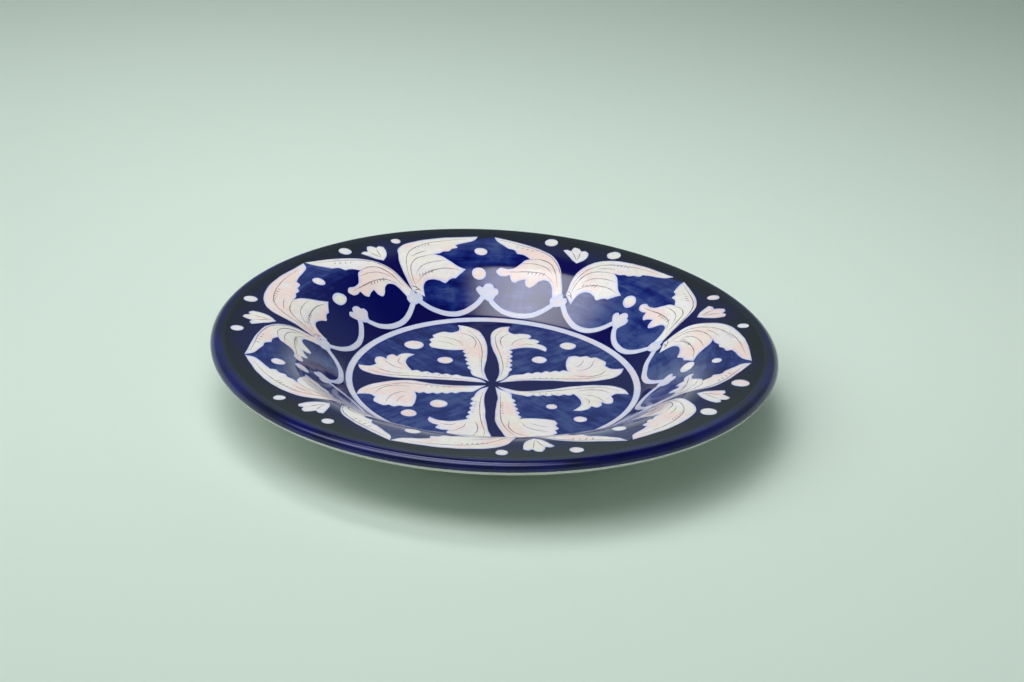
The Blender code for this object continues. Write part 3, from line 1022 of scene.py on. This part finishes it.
def palmette_pieces(index):
    """Make one palmette: its field, leaves, scallop line, dots and veins."""
    palmette = Palmette(index)
    number = index + 1
    seed = 1.0 + index

    field = Paint(seed)
    field.area([palmette.line(run) for run in FIELD])
    field.piece(f"palmette_field_{number}", WASH_LIFT, COBALT,
                palmette.tone, palmette.brush)

    for kind, runs, side in (("broad", BROAD_LEAF, -1), ("finger", FINGER_LEAF, 1)):
        leaf = Paint(seed + 10 * side)
        leaf.area(palmette.runs(runs, side))
        leaf.slip_piece(f"palmette_{kind}_leaf_{number}")

    shift = palmette.shape["bud"]
    line = Paint(seed + 30)
    for arc, side in ((BROAD_ARC, -1), (FINGER_ARC, 1)):
        line.stroke([palmette.point(share + shift[0] * eased(1 - side * share / BUD_BEND), radius)
                     for share, radius in arc], ARC_WIDTH, (1.0, 1.0))
    line.area([[palmette.point(share + shift[0], radius + shift[1]) for share, radius in run]
               for run in BUD])
    line.area(palmette.runs(KNOT, 1))
    line.piece(f"palmette_scallops_{number}", SCALLOP_LIFT, LINE)

    dots = Paint(seed + 40)
    for share, radius, wide, high in palmette.shape["dots"]:
        turn = palmette.axis - share * PITCH - math.pi / 2
        dots.dot(palmette.point(share, radius), (wide * MM, high * MM), turn)
    dots.slip_piece(f"palmette_dots_{number}")

    veins = Paint(seed + 50)
    for lines, side in ((BROAD_VEINS, -1), (FINGER_VEINS, 1)):
        for width, points in lines:
            veins.stroke(palmette.line(points, side), width * MM)
    for start, end, count in TICK_ROWS:
        ticks(veins, start, end, count, palmette.point, start[0])
    for points in KNOT_MARKS:
        veins.stroke(palmette.line(points, -1), THIN_LINE)
    veins.ink_piece(f"palmette_veins_{number}")

    rim = Paint(seed + 60)
    for share, radius, wide, high in palmette.shape["rim_dots"]:
        spot = polar(palmette.axis - share * PITCH, radius)
        rim.dot(spot, (wide * MM, high * MM), palmette.axis - share * PITCH - math.pi / 2)
    middle, lean = palmette.shape["sprig"]

    def sprig_point(share, radius):
        swing = middle + lean * (SPRIG_MIDDLE - radius) / SPRIG_HALF
        return polar(palmette.axis - (swing + share) * PITCH, radius)

    rim.area([put_by(sprig_point, run) for run in SPRIG])
    rim.slip_piece(f"rim_sprig_{number}")
    lines = Paint(seed + 70)
    for points in SPRIG_VEINS:
        lines.stroke(put_by(sprig_point, points), THIN_LINE)
    lines.ink_piece(f"rim_sprig_veins_{number}")


# ---------------------------------------------------------------- the well's cross

CROSS_CENTRE = (-0.003, -0.015)
# A leaf beside an arm of the cross: (distance out along the arm, distance from its middle).
# Each has an inner edge out to the tip, the curl, the lobe, and an edge of small teeth.
BROAD_BORDER = joined([
    [(22, 14), (100, 30), (200, 30), (300, 32), (380, 48), (440, 80), (466, 118), (474, 156)],
    [(450, 150), (427, 151), (408, 172)],
    [(410, 205), (390, 229)],
    [(375, 240), (356, 234)],
    [(340, 247), (318, 239)],
    [(298, 246), (274, 236)],
    [(266, 195), (265, 150), (272, 114)],
])
FINGER_BORDER = joined([
    [(22, 12), (100, 22), (200, 18), (300, 0), (380, -8), (440, -2), (474, 24), (487, 60)],
    [(465, 56), (443, 58), (424, 78)],
    [(431, 108), (424, 137), (407, 142), (390, 130)],
    [(388, 157), (372, 174), (353, 164)],
    [(342, 186), (315, 201), (290, 198)],
    [(312, 167), (318, 132), (308, 96), (292, 64)],
])
BORDER_TEETH = 5
TOOTH_DEPTH = 0.010
BEND_STOPS = (0.0, 0.10, 0.20, 0.30, 0.38, 0.44)
# Each arm, anticlockwise from the one on the +Y side: how far its two leaves bend away from the
# shapes above at the stops
ARM_BENDS = [
    {"broad": (0.0, 0.002, -0.003, -0.004, -0.006, -0.012),
     "finger": (0.0, 0.001, -0.003, -0.008, -0.009, -0.008)},
    {"broad": (0.0, -0.005, -0.005, -0.025, -0.018, -0.010),
     "finger": (0.0, -0.007, -0.003, 0.010, 0.022, 0.032)},
    {"broad": (0.0, -0.008, -0.012, -0.012, -0.006, -0.010),
     "finger": (0.0, 0.003, 0.002, 0.013, 0.011, -0.006)},
    {"broad": (0.0, 0.010, 0.020, 0.018, 0.016, 0.014),
     "finger": (0.0, 0.023, 0.007, -0.012, -0.017, -0.016)},
]
BORDER_VEINS = {
    "broad": [
        (0.40, spots([(60, 36), (150, 44), (250, 48), (320, 56), (385, 80), (430, 112)])),
        (0.45, spots([(290, 80), (345, 76), (390, 100), (410, 140)])),
        (0.35, spots([(300, 120), (340, 140), (362, 180), (368, 215)])),
        (0.30, spots([(300, 150), (322, 180), (330, 215)])),
    ],
    "finger": [
        (0.40, spots([(60, 28), (150, 36), (250, 28), (330, 14), (400, 10), (450, 30)])),
        (0.45, spots([(305, 40), (345, 30), (390, 34), (425, 56)])),
        (0.35, spots([(325, 70), (360, 80), (385, 105), (400, 128)])),
        (0.30, spots([(328, 100), (345, 120), (340, 160)])),
    ],
}
BORDER_TICKS = [(0.150, 0.050), (0.235, 0.056), 5]
BORDER_TICK = 1.1 * MM
# A quadrant's cobalt: its edges along the arm before it, outwards, and along the arm after it,
# inwards, and its reach and points along the well's line
QUADRANT_BEFORE = spots([(20, 35), (100, 50), (200, 52), (300, 60), (380, 80), (430, 110),
                         (458, 140), (478, 162)])
QUADRANT_AFTER = spots([(490, 66), (470, 45), (440, 30), (380, 25), (300, 35), (200, 40),
                        (100, 35), (30, 25)])
QUADRANT_REACH = 0.5045
QUADRANT_STEPS = 24
QUADRANT_PALE = [0.5, 0.7, 0.65, 0.65]
# Dots in the four quadrants of the well: (x, y, radius in millimetres)
WELL_DOTS = [
    [(-0.300, 0.272, 4.4), (-0.180, 0.160, 3.5)],
    [(-0.186, -0.196, 3.9), (-0.286, -0.286, 3.5)],
    [(0.210, -0.178, 2.5), (0.311, -0.273, 2.9)],
    [(0.270, 0.330, 3.7), (0.164, 0.204, 3.5)],
]


def arm_place(arm, kind):
    """Return the function that puts a leaf's places on the plan."""
    turn = math.pi / 2 * (arm + 1)
    side = 1 if kind == "broad" else -1
    bends = ARM_BENDS[arm][kind]

    def place(out, aside, unused=None):
        aside = side * (aside + float(np.interp(out, BEND_STOPS, bends)))
        x = CROSS_CENTRE[0] + out * math.cos(turn) - aside * math.sin(turn)
        y = CROSS_CENTRE[1] + out * math.sin(turn) + aside * math.cos(turn)
        return (PLATE_RADIUS * x, PLATE_RADIUS * y)

    return place


def border_runs(runs):
    """Return a border leaf's closed outline, with its small teeth down to its foot."""
    start, end = runs[-1][-1], (0.110, runs[-1][-1][1] * 0.45 + 0.030)
    made = list(runs)
    for index in range(BORDER_TEETH):
        first = part_way(start, end, index / BORDER_TEETH)
        last = part_way(start, end, (index + 1) / BORDER_TEETH)
        middle = (first[0] * 0.55 + last[0] * 0.45, (first[1] + last[1]) / 2 + TOOTH_DEPTH)
        made.append([first, middle, last])
    made.append([end, (0.070, end[1] - 0.008), (0.040, 0.034), runs[0][0]])
    return made


def well_pieces():
    """Make the well's painting: four cobalt quadrants, eight border leaves, dots and veins."""
    shapes = {"broad": BROAD_BORDER, "finger": FINGER_BORDER}
    for arm in range(4):
        number = arm + 1
        seed = 101.0 + arm
        before = arm_place(arm, "broad")
        after = arm_place((arm + 1) % 4, "finger")
        field = Paint(seed)
        start = put_by(before, QUADRANT_BEFORE)
        end = put_by(after, QUADRANT_AFTER)
        first = math.atan2(start[-1][1], start[-1][0])
        last = math.atan2(end[0][1], end[0][0])
        sweep = (last - first) % (2 * math.pi)
        rim = [polar(first + sweep * step / QUADRANT_STEPS, QUADRANT_REACH)
               for step in range(QUADRANT_STEPS + 1)]
        field.area([start + rim[:1], rim, rim[-1:] + end, [end[-1], start[0]]])
        middle = math.pi / 2 * (arm + 1.5)

        def brush(plan, turn=middle):
            return plan @ np.array([[math.cos(turn), -math.sin(turn)],
                                    [math.sin(turn), math.cos(turn)]])

        def tone(plan, level=QUADRANT_PALE[arm]):
            return np.full(len(plan), level)

        field.piece(f"well_quadrant_{number}", WASH_LIFT, COBALT, tone, brush)

        veins = Paint(seed + 20)
        for kind, runs in shapes.items():
            place = arm_place(arm, kind)
            leaf = Paint(seed + (5 if kind == "broad" else 15))
            leaf.area([put_by(place, run) for run in border_runs(runs)])
            leaf.slip_piece(f"well_{kind}_leaf_{number}")
            for width, points in BORDER_VEINS[kind]:
                veins.stroke(put_by(place, points), width * MM)
            ticks(veins, *BORDER_TICKS, place, None, BORDER_TICK)
        veins.ink_piece(f"well_veins_{number}")

        dots = Paint(seed + 30)
        for x, y, radius in WELL_DOTS[arm]:
            dots.dot((x * PLATE_RADIUS, y * PLATE_RADIUS), (radius * MM, 0.97 * radius * MM))
        dots.slip_piece(f"well_dots_{number}")


# ---------------------------------------------------------------- the studio

FLOOR_SIZE = 9.0
CAMERA_PLACE = (0.00753, -0.90023, 0.44779)
CAMERA_DIP = math.radians(24.806)
CAMERA_ROLL = math.radians(2.841)
CAMERA_LENS = 78.4
SENSOR_WIDTH = 36.0
# Each softbox: its middle, the point it faces, the plan direction of its long side in degrees,
# its length and width, its power in watts, the share of its half size beyond which it fades,
# its spread in degrees, and its colour
SOFTBOXES = {
    "overhead_softbox": ((-0.220, 0.098, 1.12), (0.035, 0.320, 0.0), 152.0, (1.396, 0.44), 2.12,
                         0.45, 69.8, (0.97, 0.98, 1.03)),
    "front_softbox": ((-0.305, -0.406, 0.81), (0.0, 0.0, 0.0), -12.0, (2.33, 0.70), 9.3,
                      0.35, 140.0, (1.0, 1.0, 1.04)),
}
# The room's light by height, as a share of straight up, on the plate's +Y side and -Y side,
# and how far to each side the two blend
ROOM_BEHIND = [(0.0, (0.82, 0.93, 0.91)), (0.16, (0.57, 0.67, 0.66)), (0.36, (0.21, 0.27, 0.28)),
               (0.56, (0.20, 0.26, 0.28)), (0.80, (0.05, 0.055, 0.06))]
ROOM_BEFORE = [(0.0, (0.20, 0.28, 0.20)), (0.20, (0.17, 0.235, 0.17)),
               (0.56, (0.14, 0.185, 0.14)), (0.80, (0.05, 0.055, 0.06))]
ROOM_BLEND = 0.2


def floor():
    """Make the plain pale floor."""
    half = FLOOR_SIZE / 2
    mesh = bpy.data.meshes.new("floor")
    mesh.from_pydata([(-half, -half, 0.0), (half, -half, 0.0), (half, half, 0.0),
                      (-half, half, 0.0)], [], [(0, 1, 2, 3)])
    made = Shader("paper", 0.75, 0.15)
    place = made.place()
    shade = made.ramp(made.noise(place, 1.6, 2.0), 0.3, 0.7)
    made.paint(made.mix(shade, colour(224, 238, 224), colour(220, 235, 221)))
    made.bump(made.noise(place, 900.0, 3.0), 0.05, 0.1 * MM)
    mesh.materials.append(made.material)
    linked("floor", mesh)


def softbox(name, centre, aim, direction, size, power, full, spread, tint):
    """Set an oval softbox that faces its aim, at full strength inside the share full."""
    light = bpy.data.lights.new(name, "AREA")
    light.shape = "ELLIPSE"
    light.size, light.size_y = size
    light.energy = power
    light.color = tint
    light.spread = math.radians(spread)
    lamp = linked(name, light)
    away = (Vector(centre) - Vector(aim)).normalized()
    turn = math.radians(direction)
    along = Vector((math.cos(turn), math.sin(turn), 0.0))
    along = (along - away * along.dot(away)).normalized()
    aside = away.cross(along)
    lamp.matrix_world = (Matrix.Translation(centre)
                         @ Matrix((along, aside, away)).transposed().to_4x4())

    nodes = Nodes(light)
    place = nodes.node("ShaderNodeNewGeometry", "Parametric")
    offset = nodes.node("ShaderNodeVectorMath", "Value", {0: place, 1: (0.5, 0.5, 0.0)},
                        operation="DISTANCE")
    fade = nodes.ramp(offset, 0.5, 0.5 * full)
    nodes.put(fade, nodes.tree.nodes["Emission"].inputs["Strength"])


def room_ramp(nodes, height, stops):
    """Return the room's colour by height."""
    ramp = nodes.tree.nodes.new("ShaderNodeValToRGB")
    nodes.put(height, ramp.inputs["Fac"])
    elements = ramp.color_ramp.elements
    for index, (place, shade) in enumerate(stops):
        stop = elements[index] if index < 2 else elements.new(place)
        stop.position = place
        stop.color = (*shade, 1.0)
    return ramp.outputs["Color"]


def room():
    """Set the dim room, which is brighter low down behind the plate and greener before it."""
    world = bpy.data.worlds.new("room")
    bpy.context.scene.world = world
    nodes = Nodes(world)
    across, height = nodes.split(nodes.node("ShaderNodeTexCoord", "Generated"))[1:]
    side = nodes.ramp(across, -ROOM_BLEND, ROOM_BLEND, curve="LINEAR")
    blend = nodes.mix(side, room_ramp(nodes, height, ROOM_BEFORE),
                      room_ramp(nodes, height, ROOM_BEHIND))
    nodes.put(blend, nodes.tree.nodes["Background"].inputs["Color"])


def camera():
    """Set the camera."""
    data = bpy.data.cameras.new("camera")
    data.lens = CAMERA_LENS
    data.sensor_width = SENSOR_WIDTH
    data.clip_start = 0.01
    made = linked("camera", data)
    turn = (Matrix.Rotation(math.pi / 2 - CAMERA_DIP, 4, "X")
            @ Matrix.Rotation(CAMERA_ROLL, 4, "Z"))
    made.matrix_world = Matrix.Translation(CAMERA_PLACE) @ turn
    bpy.context.scene.camera = made


noise.seed_set(WOBBLE_SEED)
turned_pieces()
for palmette_index in range(PALMETTES):
    palmette_pieces(palmette_index)
well_pieces()
floor()
for softbox_name, softbox_values in SOFTBOXES.items():
    softbox(softbox_name, *softbox_values)
room()
camera()
bpy.context.scene.view_settings.view_transform = "Standard"
